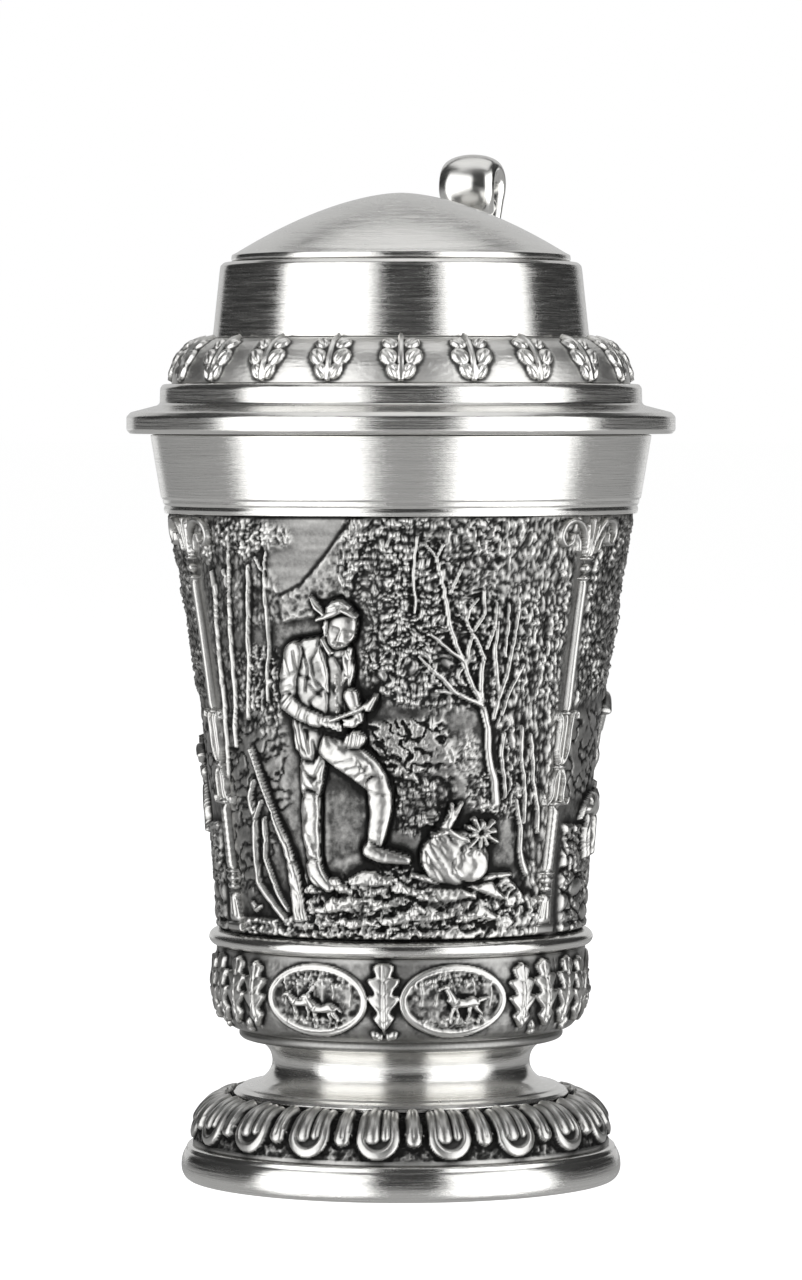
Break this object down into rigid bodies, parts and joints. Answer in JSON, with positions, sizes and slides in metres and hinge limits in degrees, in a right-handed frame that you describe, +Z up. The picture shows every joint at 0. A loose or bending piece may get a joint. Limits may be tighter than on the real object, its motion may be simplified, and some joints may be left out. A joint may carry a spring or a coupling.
{
  "type": "lidded tankard",
  "caption": "Pewter tankard with a flared relief body on a waisted foot, a scroll handle and a hinged domed lid with a thumb lift.",
  "frame": {"origin": "centre of the foot's flat underside, on the axis that the body is turned about", "axes": "+Z up through the lid's dome, +Y from the body towards the handle and hinge, -Y the front, +X to the right seen from the front"},
  "size_m": [0.1058, 0.1328, 0.1995],
  "materials": {
    "brushed_pewter": "satin",
    "antiqued_pewter": "satin",
    "polished_pewter": "polished"
  },
  "bodies": {
    "tankard": {"base_plate": "brushed_pewter", "base_ring": "brushed_pewter", "gadroon_foot": "antiqued_pewter", "pedestal_stem": "brushed_pewter", "medallion_band": "antiqued_pewter", "cup_floor": "brushed_pewter", "waist_bead": "brushed_pewter", "wall_panel_front": "antiqued_pewter", "wall_panel_right": "antiqued_pewter", "wall_panel_left": "antiqued_pewter", "pilaster_1": "antiqued_pewter", "pilaster_2": "antiqued_pewter", "pilaster_3": "antiqued_pewter", "lip_band": "brushed_pewter", "handle": "polished_pewter", "hinge_pin": "polished_pewter"},
    "lid": {"lid_rim": "brushed_pewter", "lid_seat_ring": "brushed_pewter", "lid_palmette_ring": "antiqued_pewter", "lid_drum": "brushed_pewter", "lid_dome": "brushed_pewter", "lid_hinge_strap": "polished_pewter", "thumb_lift": "polished_pewter"}
  },
  "joints": [
    {"name": "lid_hinge", "type": "hinge", "parent": "tankard", "child": "lid", "pos_m": [0, 0.0574, 0.1469], "axis": [-1, 0, 0], "range_deg": [0, 95]}
  ]
}
